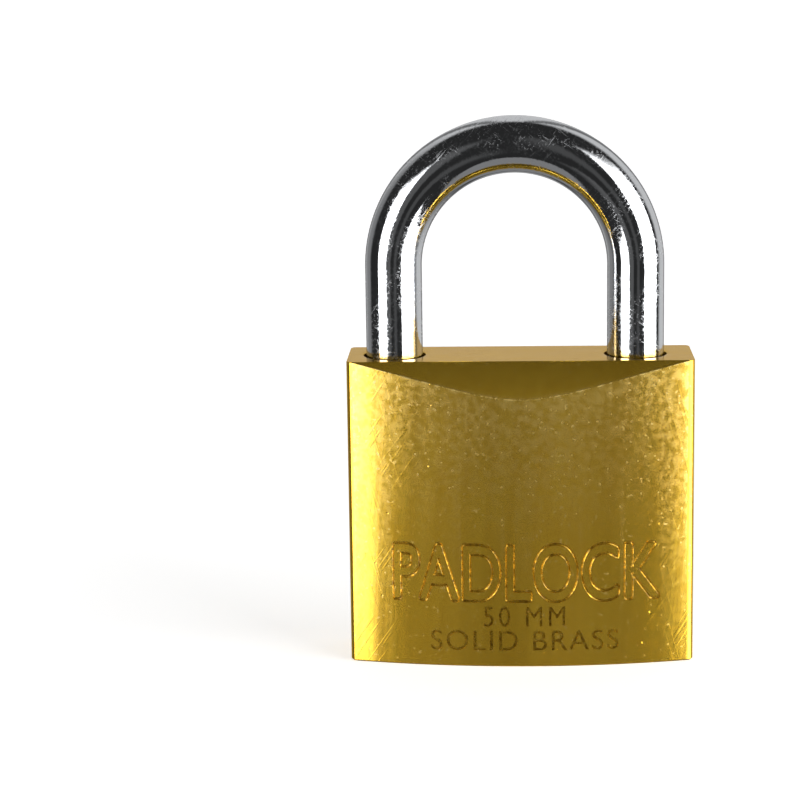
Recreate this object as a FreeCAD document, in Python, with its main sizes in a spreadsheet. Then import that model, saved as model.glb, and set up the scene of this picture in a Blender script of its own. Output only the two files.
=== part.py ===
import FreeCAD, Part
import math
import os
import re
import Sketcher
from FreeCAD import Placement, Rotation, Vector

# A solid brass pin-tumbler padlock with a hardened, chromed shackle.
#
# Frame: X is the width, from the heel leg of the shackle (-X) to the toe leg (+X).
# -Y is the front face, +Z is up, and the origin is the middle of the base.
# All lengths are millimetres.
#
# The lock is drawn closed with its key turned to the released position: the
# shackle is down, both latches are drawn back, and the pins meet at the edge of
# the key cylinder. Turning the cylinder a quarter turn shoots the latches.

SIZES = {
    # lock body: a block whose two large faces bulge, with a shoulder at the top
    "body_width": 50.0,
    "body_height": 44.6,
    "side_thickness": 12.4,
    "face_crown": 3.25,
    "corner_radius": 1.0,
    "edge_break": 0.25,
    "shoulder_inset": 6.3,
    "shoulder_drop": 5.1,
    "shoulder_radius": 9.5,
    # how far left of the body's middle the shackle and the key cylinder sit
    "core_shift": 0.75,
    # shackle legs and the bores that take them
    "leg_spacing": 35.0,
    "leg_diameter": 8.25,
    "leg_bore": 9.1,
    "mouth_ring": 10.3,
    "mouth_depth": 0.09,
    "bow_base": 13.0,
    "heel_end": 11.5,
    "heel_floor": 3.5,
    "toe_end": 31.9,
    "toe_floor": 31.4,
    "leg_chamfer": 0.7,
    "neck_diameter": 4.8,
    "neck_bottom": 14.0,
    "neck_top": 30.8,
    "notch_depth": 2.0,
    "notch_floor": 3.8,
    "notch_flank": 2.0,
    # shackle spring under the heel leg
    "heel_spring_mean": 6.6,
    "heel_spring_wire": 0.8,
    "heel_spring_turns": 6.5,
    # pin that keeps the heel leg in the body
    "stop_pin_height": 29.0,
    "stop_pin_diameter": 3.0,
    "stop_pin_gap": 0.15,
    # latches, their bore and its plug
    "latch_height": 36.5,
    "latch_bore": 6.2,
    "latch_diameter": 6.0,
    "latch_nose": 13.15,
    "latch_bevel": 1.3,
    "latch_shoulder": 6.5,
    "latch_tail": 3.2,
    "latch_split": 0.15,
    "latch_hook": 1.8,
    "latch_slack": 2.2,
    "latch_groove_side": 2.25,
    "latch_groove_top": 36.3,
    "latch_plug_inner": 22.6,
    # springs between the two latches
    "latch_spring_side": 1.55,
    "latch_spring_mean": 2.0,
    "latch_spring_wire": 0.3,
    "latch_spring_turns": 5.0,
    # key cylinder
    "cylinder_diameter": 12.0,
    "cylinder_bore": 12.2,
    "cylinder_recess": 0.2,
    "cylinder_top": 29.9,
    "bore_top": 30.0,
    "keyway_width": 2.3,
    "keyway_low": 5.0,
    "keyway_high": 3.6,
    "keyway_top": 24.5,
    "ward_step": 0.6,
    "ward_low": 3.4,
    "ward_mid": 2.1,
    "ward_high": 0.8,
    "tongue_width": 2.0,
    "tongue_length": 8.0,
    "tongue_rise": 1.4,
    # pin that keeps the cylinder in the body
    "retainer_height": 27.0,
    "retainer_side": 6.0,
    "retainer_diameter": 2.0,
    "retainer_end": 3.8,
    "groove_depth": 1.1,
    # cam on the cylinder's top, with a pin for each latch
    "cam_diameter": 9.0,
    "cam_bottom": 30.1,
    "cam_top": 33.3,
    "cam_chamber": 9.4,
    "cam_chamber_top": 34.6,
    "cam_pin_offset": 0.9,
    "cam_pin_diameter": 1.6,
    "cam_pin_top": 36.0,
    # pin stacks
    "first_stack": 5.0,
    "stack_pitch": 4.2,
    "pin_bore": 3.0,
    "pin_diameter": 2.9,
    "pin_chamfer": 0.3,
    "chamber_floor": 0.3,
    "key_pin_outer": 5.85,
    "key_pin_tip": 1.0,
    "key_pin_cone": 1.1,
    "key_pin_length_1": 4.4,
    "key_pin_length_2": 5.2,
    "key_pin_length_3": 3.8,
    "key_pin_length_4": 5.6,
    "key_pin_length_5": 4.8,
    "driver_inner": 6.15,
    "driver_length": 4.5,
    "driver_spring_mean": 2.3,
    "driver_spring_wire": 0.35,
    "driver_spring_turns": 9.0,
    "chamber_plug_inner": 19.0,
    # gaps
    "spring_gap": 0.05,
    "press_gap": 0.02,
    "flush_gap": 0.05,
}
STACKS = 5

# the axes of the shackle's two legs, and a body that stands on the mechanism's own axis
HEEL = "-core_shift - leg_spacing / 2"
TOE = "-core_shift + leg_spacing / 2"
ON_CORE = ("-core_shift", "0", "0")

document = FreeCAD.newDocument("Padlock")
sheet = document.addObject("Spreadsheet::Sheet", "Sizes")
for row, (alias, size) in enumerate(SIZES.items(), start=1):
    sheet.set(f"A{row}", str(size))
    sheet.setAlias(f"A{row}", alias)
document.recompute()

parts = []


# ---------------------------------------------------------------- expressions

def cells(expression):
    """The expression with each size name read from the sheet."""
    return re.sub(r"\b[a-z]\w*\b(?!\()", lambda word: "Sizes." + word.group(), expression)


def number(expression):
    """What the expression comes to with the sheet's present sizes."""
    return float(sheet.evalExpression(cells(expression)))


def bind(feature, **sizes):
    """Bind properties of a feature to expressions of the sheet's sizes."""
    for name, expression in sizes.items():
        feature.setExpression(name, cells(expression))


# ------------------------------------------------------------------- sketches

def add_sketch(body, name, plane, shift=("0", "0", "0")):
    """A sketch on one of the body's origin planes, moved by shift in that plane's axes."""
    sketch = body.newObject("Sketcher::SketchObject", f"{body.Name}_{name}")
    support = [face for face in body.Origin.OriginFeatures if face.Role == plane]
    sketch.AttachmentSupport = [(support[0], "")]
    sketch.MapMode = "FlatFace"
    for axis, expression in zip("xyz", shift):
        sketch.setExpression(f".AttachmentOffset.Base.{axis}", cells(expression))
    return sketch


def hold(sketch, geometry, vertex, x, y):
    """Hold a point of the sketch at x, y from the sketch's origin."""
    for kind, axis, expression in (("DistanceX", -2, x), ("DistanceY", -1, y)):
        if expression == "0":
            sketch.addConstraint(Sketcher.Constraint("PointOnObject", geometry, vertex, axis))
            continue
        distance = Sketcher.Constraint(kind, -1, 1, geometry, vertex, number(expression))
        index = sketch.addConstraint(distance)
        sketch.setExpression(f"Constraints[{index}]", cells(expression))


def add_circle(sketch, x, y, diameter):
    """A circle held by its centre and its diameter."""
    centre = Vector(number(x), number(y), 0)
    circle = Part.Circle(centre, Vector(0, 0, 1), number(diameter) / 2)
    geometry = sketch.addGeometry(circle)
    hold(sketch, geometry, 3, x, y)
    index = sketch.addConstraint(Sketcher.Constraint("Diameter", geometry, number(diameter)))
    sketch.setExpression(f"Constraints[{index}]", cells(diameter))


def arc_between(start, end, radius):
    """The short arc from start to end; a positive radius turns left, a negative one right."""
    chord = end - start
    left = Vector(-chord.y, chord.x, 0).normalize()
    reach = math.sqrt(radius ** 2 - (chord.Length / 2) ** 2)
    centre = (start + end) / 2 + left * math.copysign(reach, radius)
    first, last = (start, end) if radius > 0 else (end, start)
    angles = [math.atan2(point.y - centre.y, point.x - centre.x) for point in (first, last)]
    if angles[1] < angles[0]:
        angles[1] += 2 * math.pi
    return Part.ArcOfCircle(Part.Circle(centre, Vector(0, 0, 1), abs(radius)), *angles)


def add_outline(sketch, corners, closed=True):
    """Lines and arcs through the corners, each corner held at its place.

    A corner is (x, y), or (x, y, radius) where the side that leaves it is an arc.
    """
    points = [Vector(number(corner[0]), number(corner[1]), 0) for corner in corners]
    sides = len(corners) if closed else len(corners) - 1
    ends = []
    for side in range(sides):
        start = points[side]
        end = points[(side + 1) % len(points)]
        if len(corners[side]) == 2:
            geometry = sketch.addGeometry(Part.LineSegment(start, end))
            ends.append((geometry, 1, 2))
            continue
        radius = number(corners[side][2])
        geometry = sketch.addGeometry(arc_between(start, end, radius))
        ends.append((geometry, 1, 2) if radius > 0 else (geometry, 2, 1))
        index = sketch.addConstraint(Sketcher.Constraint("Radius", geometry, abs(radius)))
        sketch.setExpression(f"Constraints[{index}]", cells(f"abs({corners[side][2]})"))
    for side in range(1, sides):
        before, after = ends[side - 1], ends[side]
        joint = Sketcher.Constraint("Coincident", before[0], before[2], after[0], after[1])
        sketch.addConstraint(joint)
    if closed:
        last, first = ends[-1], ends[0]
        joint = Sketcher.Constraint("Coincident", last[0], last[2], first[0], first[1])
        sketch.addConstraint(joint)
    for side, (geometry, start_vertex, end_vertex) in enumerate(ends):
        hold(sketch, geometry, start_vertex, corners[side][0], corners[side][1])
    if not closed:
        hold(sketch, ends[-1][0], ends[-1][2], corners[-1][0], corners[-1][1])


def rectangle(low_x, low_y, high_x, high_y):
    """The four corners of a rectangle, anticlockwise."""
    return [(low_x, low_y), (high_x, low_y), (high_x, high_y), (low_x, high_y)]


# ------------------------------------------------------------------- features

def new_body(label, turn=None, at=("0", "0", "0")):
    """An empty body, which becomes the sub-part of that name."""
    body = document.addObject("PartDesign::Body", label)
    body.Label = label
    body.Placement = Placement(Vector(0, 0, 0), turn or Rotation())
    for axis, expression in zip("xyz", at):
        body.setExpression(f".Placement.Base.{axis}", cells(expression))
    parts.append(body)
    return body


def add_extrusion(body, kind, name, sketch, length, reverse=False, both_ways=False):
    """A Pad or a Pocket of the sketch, which has to change the body's volume."""
    before = body.Shape.Volume if body.Tip else 0.0
    feature = body.newObject(f"PartDesign::{kind}", f"{body.Name}_{name}")
    feature.Profile = sketch
    feature.Reversed = reverse
    feature.Midplane = both_ways
    bind(feature, Length=length)
    document.recompute()
    change = body.Shape.Volume - before
    if abs(change) < 1e-3 or (change > 0) != (kind == "Pad"):
        raise ValueError(f"{feature.Name} changes the volume by {change:.3f}")
    return feature


def add_turning(body, kind, name, sketch, axis):
    """A full Revolution or Groove of the sketch about one of its axes."""
    before = body.Shape.Volume if body.Tip else 0.0
    feature = body.newObject(f"PartDesign::{kind}", f"{body.Name}_{name}")
    feature.Profile = sketch
    feature.ReferenceAxis = (sketch, [axis])
    feature.Angle = 360
    document.recompute()
    change = body.Shape.Volume - before
    if abs(change) < 1e-3 or (change > 0) != (kind == "Revolution"):
        raise ValueError(f"{feature.Name} changes the volume by {change:.3f}")
    return feature


def add_row(body, name, original, direction_sketch, axis, length, count):
    """A linear pattern of one feature along an axis of a sketch."""
    before = body.Shape.Volume
    row = body.newObject("PartDesign::LinearPattern", f"{body.Name}_{name}")
    row.Originals = [original]
    row.Direction = (direction_sketch, [axis])
    bind(row, Length=length)
    row.Occurrences = count
    body.Tip = row
    document.recompute()
    if body.Shape.Volume > before - 1e-3:
        raise ValueError(f"{row.Name} cuts nothing")
    return row


def edge_names(shape, wanted):
    """The names of the edges that pass a test."""
    return [f"Edge{n}" for n, edge in enumerate(shape.Edges, start=1) if wanted(edge)]


def dress(body, kind, name, base, names, size):
    """A Fillet or a Chamfer on named edges of the last feature."""
    feature = body.newObject(f"PartDesign::{kind}", f"{body.Name}_{name}")
    feature.Base = (base, names)
    bind(feature, **{"Radius" if kind == "Fillet" else "Size": size})
    document.recompute()
    return feature


def turned_part(label, profile, direction, at):
    """A part turned on a lathe: profile is (radius, distance along) from its end at `at`."""
    body = new_body(label, Rotation(Vector(0, 0, 1), direction), at)
    sketch = add_sketch(body, "profile", "XZ_Plane")
    add_outline(sketch, profile)
    add_turning(body, "Revolution", "turning", sketch, "V_Axis")
    return body


def pin_profile(diameter, length, chamfer):
    """A straight pin with both its ends chamfered."""
    return [
        ("0", "0"),
        (f"{diameter} / 2 - {chamfer}", "0"),
        (f"{diameter} / 2", chamfer),
        (f"{diameter} / 2", f"{length} - {chamfer}"),
        (f"{diameter} / 2 - {chamfer}", length),
        ("0", length),
    ]


def coil_spring(label, mean, wire, turns, length, direction, at):
    """An open compression spring that fills the length from `at`, less the end gaps."""
    body = new_body(label, Rotation(Vector(0, 0, 1), direction), at)
    sketch = add_sketch(body, "wire", "XZ_Plane")
    add_circle(sketch, f"{mean} / 2", f"{wire} / 2 + spring_gap", wire)
    coil = body.newObject("PartDesign::AdditiveHelix", f"{body.Name}_coil")
    coil.Profile = sketch
    coil.ReferenceAxis = (sketch, ["V_Axis"])
    coil.Mode = "height-turns-angle"
    bind(coil, Height=f"{length} - {wire} - 2 * spring_gap", Turns=turns)
    document.recompute()
    return body


# ------------------------------------------------------------------ lock body

def build_lock_body():
    """The solid block with its bulged faces, shoulders and every bore."""
    body = new_body("lock_body")
    half_width = "body_width / 2"
    half_side = "side_thickness / 2"
    crown_radius = "((body_width / 2) ^ 2 + face_crown ^ 2) / (2 * face_crown)"

    plan = add_sketch(body, "plan", "XY_Plane")
    add_outline(plan, [
        (f"-{half_width}", f"-{half_side}", crown_radius),
        (half_width, f"-{half_side}"),
        (half_width, half_side, crown_radius),
        (f"-{half_width}", half_side),
    ])
    block = add_extrusion(body, "Pad", "block", plan, "body_height")

    def upright(edge):
        return abs(edge.tangentAt(edge.FirstParameter).z) > 0.99

    corners = dress(body, "Fillet", "corners", block, edge_names(block.Shape, upright), "corner_radius")

    def at_base(edge):
        return edge.BoundBox.ZMax < 1e-6

    dress(body, "Chamfer", "base_edge", corners, edge_names(corners.Shape, at_base), "edge_break")

    shoulder = add_sketch(body, "shoulder", "YZ_Plane")
    clear_side = "side_thickness / 2 + face_crown + 2"
    face = "side_thickness / 2 + face_crown"
    foot = "body_height - shoulder_drop"
    above = "body_height + 2"
    add_outline(shoulder, [
        (f"-({face})", foot, "-shoulder_radius"),
        ("-shoulder_inset", "body_height"),
        ("-shoulder_inset", above),
        (f"-({clear_side})", above),
        (f"-({clear_side})", foot),
    ])
    add_outline(shoulder, [
        ("shoulder_inset", "body_height", "-shoulder_radius"),
        (face, foot),
        (clear_side, foot),
        (clear_side, above),
        ("shoulder_inset", above),
    ])
    add_extrusion(body, "Pocket", "shoulders", shoulder, "body_width + 4", both_ways=True)

    top = ("0", "0", "body_height")
    mouths = add_sketch(body, "mouths", "XY_Plane", top)
    for side in (HEEL, TOE):
        add_circle(mouths, side, "0", "mouth_ring")
    add_extrusion(body, "Pocket", "mouth_rings", mouths, "mouth_depth")
    for name, side, floor in (
        ("heel_bore", HEEL, "heel_floor"),
        ("toe_bore", TOE, "toe_floor"),
    ):
        sketch = add_sketch(body, name, "XY_Plane", top)
        add_circle(sketch, side, "0", "leg_bore")
        add_extrusion(body, "Pocket", name + "_cut", sketch, f"body_height - {floor}")

    for name, diameter, height in (
        ("cylinder_bore", "cylinder_bore", "bore_top"),
        ("cam_chamber", "cam_chamber", "cam_chamber_top"),
    ):
        sketch = add_sketch(body, name, "XY_Plane")
        add_circle(sketch, "-core_shift", "0", diameter)
        add_extrusion(body, "Pocket", name + "_cut", sketch, height, reverse=True)

    right_side = ("0", "0", "body_width / 2")
    latch = add_sketch(body, "latch_bore", "YZ_Plane", right_side)
    add_circle(latch, "0", "latch_height", "latch_bore")
    reach = f"body_width / 2 - ({HEEL}) - leg_bore / 4"
    add_extrusion(body, "Pocket", "latch_bore_cut", latch, reach)

    stop = add_sketch(body, "stop_pin_hole", "YZ_Plane", ("0", "0", "-body_width / 2"))
    add_circle(stop, "0", "stop_pin_height", "stop_pin_diameter + 2 * press_gap")
    add_extrusion(body, "Pocket", "stop_pin_hole_cut", stop, "5", reverse=True)

    retainer = add_sketch(body, "retainer_hole", "XZ_Plane", ("0", "0", "retainer_end + 0.2"))
    add_circle(retainer, "-core_shift - retainer_side", "retainer_height", "retainer_diameter + 2 * press_gap")
    add_extrusion(body, "Pocket", "retainer_hole_cut", retainer, "18")

    chamber = add_sketch(body, "chamber", "YZ_Plane", right_side)
    add_circle(chamber, "0", "first_stack", "pin_bore")
    chamber_cut = add_extrusion(body, "Pocket", "chamber_cut", chamber,
                                "body_width / 2 + core_shift - 5")
    length = f"{STACKS - 1} * stack_pitch"
    add_row(body, "chambers", chamber_cut, chamber, "V_Axis", length, STACKS)


# ------------------------------------------------------------ shackle and heel

def build_shackle():
    """The bent round bar: a long necked heel leg, a short toe leg, a notch in each."""
    body = new_body("shackle", at=ON_CORE)
    half_spacing = "leg_spacing / 2"
    bow_base = "body_height + bow_base"

    path = add_sketch(body, "path", "XZ_Plane")
    add_outline(path, [
        (f"-{half_spacing}", "heel_end"),
        (f"-{half_spacing}", bow_base, "-leg_spacing / 2 - 0.000001"),
        (half_spacing, bow_base),
        (half_spacing, "toe_end"),
    ], closed=False)
    bar = add_sketch(body, "bar", "XY_Plane", ("0", "0", "heel_end"))
    add_circle(bar, f"-{half_spacing}", "0", "leg_diameter")
    bend = body.newObject("PartDesign::AdditivePipe", "shackle_bend")
    bend.Profile = bar
    bend.Spine = (path, ["Edge1", "Edge2", "Edge3"])
    document.recompute()

    def at_leg_end(edge):
        return edge.BoundBox.ZLength < 1e-6 and edge.BoundBox.ZMax < number("toe_end") + 1e-6

    dress(body, "Chamfer", "leg_ends", bend, edge_names(bend.Shape, at_leg_end), "leg_chamfer")

    neck = add_sketch(body, "neck", "XZ_Plane", (f"-{half_spacing}", "0", "0"))
    outside = "leg_diameter / 2 + 1"
    add_outline(neck, rectangle("neck_diameter / 2", "neck_bottom", outside, "neck_top"))
    add_turning(body, "Groove", "neck_cut", neck, "V_Axis")

    notch = add_sketch(body, "notches", "XZ_Plane")
    inner = "leg_spacing / 2 - leg_diameter / 2 - 0.5"
    floor = "leg_spacing / 2 - leg_diameter / 2 + notch_depth"
    half_floor = "notch_floor / 2"
    half_mouth = "notch_floor / 2 + notch_flank * (1 + 0.5 / notch_depth)"
    for side in ("", "-"):
        corners = [
            (f"{side}({inner})", f"latch_height - ({half_mouth})"),
            (f"{side}({floor})", f"latch_height - {half_floor}"),
            (f"{side}({floor})", f"latch_height + {half_floor}"),
            (f"{side}({inner})", f"latch_height + {half_mouth}"),
        ]
        add_outline(notch, corners)
    add_extrusion(body, "Pocket", "notch_cut", notch, "leg_diameter + 2", both_ways=True)


def build_heel():
    """The spring under the heel leg, and the pin that stops the leg from coming out."""
    heel_axis = (HEEL, "0", "heel_floor")
    coil_spring("shackle_spring", "heel_spring_mean", "heel_spring_wire", "heel_spring_turns",
                "(heel_end - heel_floor)", Vector(0, 0, 1), heel_axis)
    reach = "body_width / 2 - core_shift - (leg_spacing + neck_diameter) / 2 - stop_pin_gap - flush_gap"
    turned_part("shackle_stop_pin", pin_profile("stop_pin_diameter", f"({reach})", "pin_chamfer"),
                Vector(1, 0, 0), ("flush_gap - body_width / 2", "0", "stop_pin_height"))


# ---------------------------------------------------------------- latch train

def build_latch(label, turn):
    """A round bolt with a bevelled nose and a half-round tail that hooks on the cam pin."""
    body = new_body(label, turn, ON_CORE)
    centre = ("0", "latch_height", "0")
    radius = "latch_diameter / 2"

    profile = add_sketch(body, "profile", "XZ_Plane", centre)
    add_outline(profile, [
        ("-latch_tail", "0"),
        ("latch_nose", "0"),
        ("latch_nose", f"{radius} - latch_bevel"),
        ("latch_nose - latch_bevel", radius),
        ("-latch_tail", radius),
    ])
    add_turning(body, "Revolution", "round", profile, "H_Axis")

    above = ("0", "0", "latch_height + latch_diameter")
    half = add_sketch(body, "half", "XY_Plane", above)
    edge = f"-({radius} + 1)"
    add_outline(half, rectangle("-latch_tail - 1", edge, "latch_shoulder", "latch_split"))
    add_extrusion(body, "Pocket", "half_cut", half, "2 * latch_diameter")

    groove = add_sketch(body, "groove", "XY_Plane", ("0", "0", "latch_groove_top"))
    add_outline(groove, rectangle("-latch_hook", edge, "latch_slack", "latch_groove_side"))
    add_extrusion(body, "Pocket", "groove_cut", groove, "latch_diameter")
    return body


def build_latch_train():
    """Both latches, the springs that part them, and the plug that closes their bore."""
    build_latch("toe_latch", Rotation())
    build_latch("heel_latch", Rotation(Vector(0, 0, 1), 180))
    for label, side, way in (("toe_latch_spring", "", -1), ("heel_latch_spring", "-", 1)):
        tail = f"-core_shift + {way} * latch_tail"
        coil_spring(label, "latch_spring_mean", "latch_spring_wire", "latch_spring_turns",
                    "(latch_shoulder - latch_tail)", Vector(way, 0, 0),
                    (tail, f"{side}latch_spring_side", "latch_height"))
    plug_length = "(body_width / 2 - latch_plug_inner - flush_gap)"
    turned_part("latch_bore_plug", pin_profile("(latch_bore - 2 * press_gap)", plug_length, "press_gap"),
                Vector(1, 0, 0), ("latch_plug_inner", "0", "latch_height"))


# --------------------------------------------------------------- key cylinder

def build_key_cylinder():
    """The turning cylinder with its keyway, pin chambers, retaining groove and tongue."""
    body = new_body("key_cylinder", at=ON_CORE)
    core = add_sketch(body, "core", "XY_Plane", ("0", "0", "cylinder_recess"))
    add_circle(core, "0", "0", "cylinder_diameter")
    add_extrusion(body, "Pad", "core_pad", core, "cylinder_top - cylinder_recess")

    tongue = add_sketch(body, "tongue", "XY_Plane", ("0", "0", "cylinder_top"))
    half_width = "tongue_width / 2"
    half_length = "tongue_length / 2"
    add_outline(tongue, rectangle(f"-{half_width}", f"-{half_length}", half_width, half_length))
    add_extrusion(body, "Pad", "tongue_pad", tongue, "tongue_rise")

    groove = add_sketch(body, "groove", "XZ_Plane")
    half_groove = "(retainer_diameter / 2 + 0.1)"
    inner = "cylinder_diameter / 2 - groove_depth"
    outer = "cylinder_diameter / 2 + 1"
    low = f"retainer_height - {half_groove}"
    high = f"retainer_height + {half_groove}"
    add_outline(groove, rectangle(inner, low, outer, high))
    add_turning(body, "Groove", "groove_cut", groove, "V_Axis")

    keyway = add_sketch(body, "keyway", "XY_Plane", ("0", "0", "cylinder_recess"))
    side = "keyway_width / 2"
    ward = "keyway_width / 2 + ward_step"
    narrow = "keyway_width / 2 - ward_step"
    add_outline(keyway, [
        (f"-{side}", "-keyway_low"),
        (side, "-keyway_low"),
        (side, "-ward_low"),
        (narrow, "-ward_low"),
        (narrow, "-ward_mid"),
        (side, "-ward_mid"),
        (side, "keyway_high"),
        (f"-{side}", "keyway_high"),
        (f"-{side}", "-ward_high"),
        (f"-({ward})", "-ward_high"),
        (f"-({ward})", "-ward_mid"),
        (f"-{side}", "-ward_mid"),
    ])
    depth = "keyway_top - cylinder_recess"
    add_extrusion(body, "Pocket", "keyway_cut", keyway, depth, reverse=True)

    chamber = add_sketch(body, "chamber", "XZ_Plane", ("0", "0", "-chamber_floor"))
    add_circle(chamber, "0", "first_stack", "pin_bore")
    chamber_cut = add_extrusion(body, "Pocket", "chamber_cut", chamber, "cylinder_diameter")
    length = f"{STACKS - 1} * stack_pitch"
    add_row(body, "chambers", chamber_cut, chamber, "V_Axis", length, STACKS)


def build_cylinder_cam():
    """The disc on the cylinder's tongue, with two pins that draw the latches back."""
    body = new_body("cylinder_cam", at=ON_CORE)
    disc = add_sketch(body, "disc", "XY_Plane", ("0", "0", "cam_bottom"))
    add_circle(disc, "0", "0", "cam_diameter")
    add_extrusion(body, "Pad", "disc_pad", disc, "cam_top - cam_bottom")

    pins = add_sketch(body, "pins", "XY_Plane", ("0", "0", "cam_top"))
    add_circle(pins, "-cam_pin_offset", "cam_pin_offset", "cam_pin_diameter")
    add_circle(pins, "cam_pin_offset", "-cam_pin_offset", "cam_pin_diameter")
    add_extrusion(body, "Pad", "pins_pad", pins, "cam_pin_top - cam_top")

    slot = add_sketch(body, "slot", "XY_Plane", ("0", "0", "cam_bottom"))
    half_width = "(tongue_width / 2 + press_gap)"
    half_length = "(cam_diameter / 2 + 1)"
    add_outline(slot, rectangle(f"-{half_width}", f"-{half_length}", half_width, half_length))
    add_extrusion(body, "Pocket", "slot_cut", slot, "tongue_rise", reverse=True)


def build_cylinder_retaining_pin():
    """The cross pin from the back that runs in the cylinder's groove."""
    back = "side_thickness / 2 + face_crown"
    side = "(core_shift + retainer_side)"
    fall = f"{side} ^ 2 * face_crown / (body_width / 2) ^ 2"
    start = f"({back} - {fall} - 0.1)"
    turned_part("cylinder_retaining_pin",
                pin_profile("retainer_diameter", f"({start} + retainer_end)", "press_gap"),
                Vector(0, -1, 0), (f"-{side}", start, "retainer_height"))


# ------------------------------------------------------------------ pin stacks

def build_pin_stack(stack):
    """One key pin, its driver pin, spring and the plug that closes the chamber."""
    height = f"first_stack + {stack - 1} * stack_pitch"
    length = f"key_pin_length_{stack}"
    radius = "pin_diameter / 2"
    key_pin = [
        ("0", "0"),
        (f"{radius} - pin_chamfer", "0"),
        (radius, "pin_chamfer"),
        (radius, f"{length} - key_pin_cone"),
        ("key_pin_tip / 2", length),
        ("0", length),
    ]
    turned_part(f"key_pin_{stack}", key_pin, Vector(0, -1, 0),
                ("-core_shift", "key_pin_outer", height))
    turned_part(f"driver_pin_{stack}", pin_profile("pin_diameter", "driver_length", "pin_chamfer"),
                Vector(1, 0, 0), ("driver_inner - core_shift", "0", height))
    spring_start = "driver_inner + driver_length - core_shift"
    coil_spring(f"driver_spring_{stack}", "driver_spring_mean", "driver_spring_wire",
                "driver_spring_turns", f"(chamber_plug_inner - ({spring_start}))",
                Vector(1, 0, 0), (spring_start, "0", height))
    plug_length = "(body_width / 2 - chamber_plug_inner - flush_gap)"
    turned_part(f"chamber_plug_{stack}",
                pin_profile("(pin_bore - 2 * press_gap)", plug_length, "press_gap"),
                Vector(1, 0, 0), ("chamber_plug_inner", "0", height))


# -------------------------------------------------------------- check and write

def check_document():
    """Stop if any object failed, or a sub-part is not one or more valid solids."""
    document.recompute()
    for item in document.Objects:
        if "Invalid" in item.State or "Error" in item.State:
            raise ValueError(f"{item.Name} is {item.State}")
    for part in parts:
        shape = part.Shape
        if shape.isNull() or not shape.isValid() or not shape.Solids:
            raise ValueError(f"{part.Label} has no valid solid")


def write_parts():
    """Write each sub-part to a STEP file named after it."""
    os.makedirs("parts", exist_ok=True)
    for part in parts:
        part.Shape.exportStep(f"parts/{part.Label}.step")
        print(f"{part.Label:24s} {len(part.Shape.Solids)} solid, {part.Shape.Volume:9.2f} mm3")


build_lock_body()
build_shackle()
build_heel()
build_latch_train()
build_key_cylinder()
build_cylinder_cam()
build_cylinder_retaining_pin()
for number_of_stack in range(1, STACKS + 1):
    build_pin_stack(number_of_stack)
check_document()
write_parts()
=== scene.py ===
"""A solid brass padlock with a chromed shackle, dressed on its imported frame.

The pieces that a user sees first are made here: the brass body with its stamped face,
the shackle, and the coil springs inside. The turned and ground pieces keep the shapes
of the frame and get their finishes here. Everything is in metres, in the frame's place.
"""

import math

import bmesh
import bpy
from bpy.props import (
    FloatProperty,
    FloatVectorProperty,
    IntProperty,
    PointerProperty,
    StringProperty,
)
from mathutils import Matrix, Vector


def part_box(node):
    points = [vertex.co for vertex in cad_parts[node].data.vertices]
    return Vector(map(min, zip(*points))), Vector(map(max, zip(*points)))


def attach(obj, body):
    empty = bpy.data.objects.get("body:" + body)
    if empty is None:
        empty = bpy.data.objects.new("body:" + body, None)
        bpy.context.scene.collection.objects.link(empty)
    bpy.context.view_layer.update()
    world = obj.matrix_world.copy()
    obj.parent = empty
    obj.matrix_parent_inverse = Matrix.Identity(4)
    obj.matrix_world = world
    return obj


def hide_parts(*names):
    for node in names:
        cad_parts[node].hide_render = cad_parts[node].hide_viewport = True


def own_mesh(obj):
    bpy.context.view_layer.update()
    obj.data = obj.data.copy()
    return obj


bl_info = {
    "name": "Brass Padlock",
    "version": (1, 0, 0),
    "blender": (4, 5, 0),
    "location": "View3D > Sidebar > Padlock",
    "description": "Dresses a packed padlock frame with its visible pieces and finishes",
    "category": "Add Mesh",
}

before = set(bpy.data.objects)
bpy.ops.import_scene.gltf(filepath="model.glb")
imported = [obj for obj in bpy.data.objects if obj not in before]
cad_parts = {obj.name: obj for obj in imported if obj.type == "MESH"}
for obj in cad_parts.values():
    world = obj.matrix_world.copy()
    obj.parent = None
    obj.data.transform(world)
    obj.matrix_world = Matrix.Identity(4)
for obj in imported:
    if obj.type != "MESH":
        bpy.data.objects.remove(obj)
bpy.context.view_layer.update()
MM = 0.001
STACKS = 5
MATH = "ShaderNodeMath"
MIX = "ShaderNodeMix"

BODY_LOW, BODY_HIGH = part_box("lock_body")
SHACKLE_LOW, SHACKLE_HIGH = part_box("shackle")
CYLINDER_LOW, CYLINDER_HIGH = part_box("key_cylinder")
LATCH_LOW, LATCH_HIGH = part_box("toe_latch")
CORE_X = (CYLINDER_LOW.x + CYLINDER_HIGH.x) / 2
LATCH_Z = (LATCH_LOW.z + LATCH_HIGH.z) / 2


# ------------------------------------------------------------------- small helpers

def linear(hex_colour):
    """An sRGB hex colour as linear red, green, blue and alpha."""
    parts = [int(hex_colour[i:i + 2], 16) / 255 for i in (1, 3, 5)]
    return [p / 12.92 if p <= 0.04045 else ((p + 0.055) / 1.055) ** 2.4 for p in parts] + [1.0]


def add_node(tree, kind, inputs=None, out=0, **settings):
    """Add a node, set its settings, give each input a value or a link, and return one output."""
    node = tree.nodes.new(kind)
    for name, value in settings.items():
        setattr(node, name, value)
    for socket, given in (inputs or {}).items():
        if isinstance(given, bpy.types.NodeSocket):
            tree.links.new(given, node.inputs[socket])
        else:
            node.inputs[socket].default_value = given
    return node.outputs[out] if node.outputs else None


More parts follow.
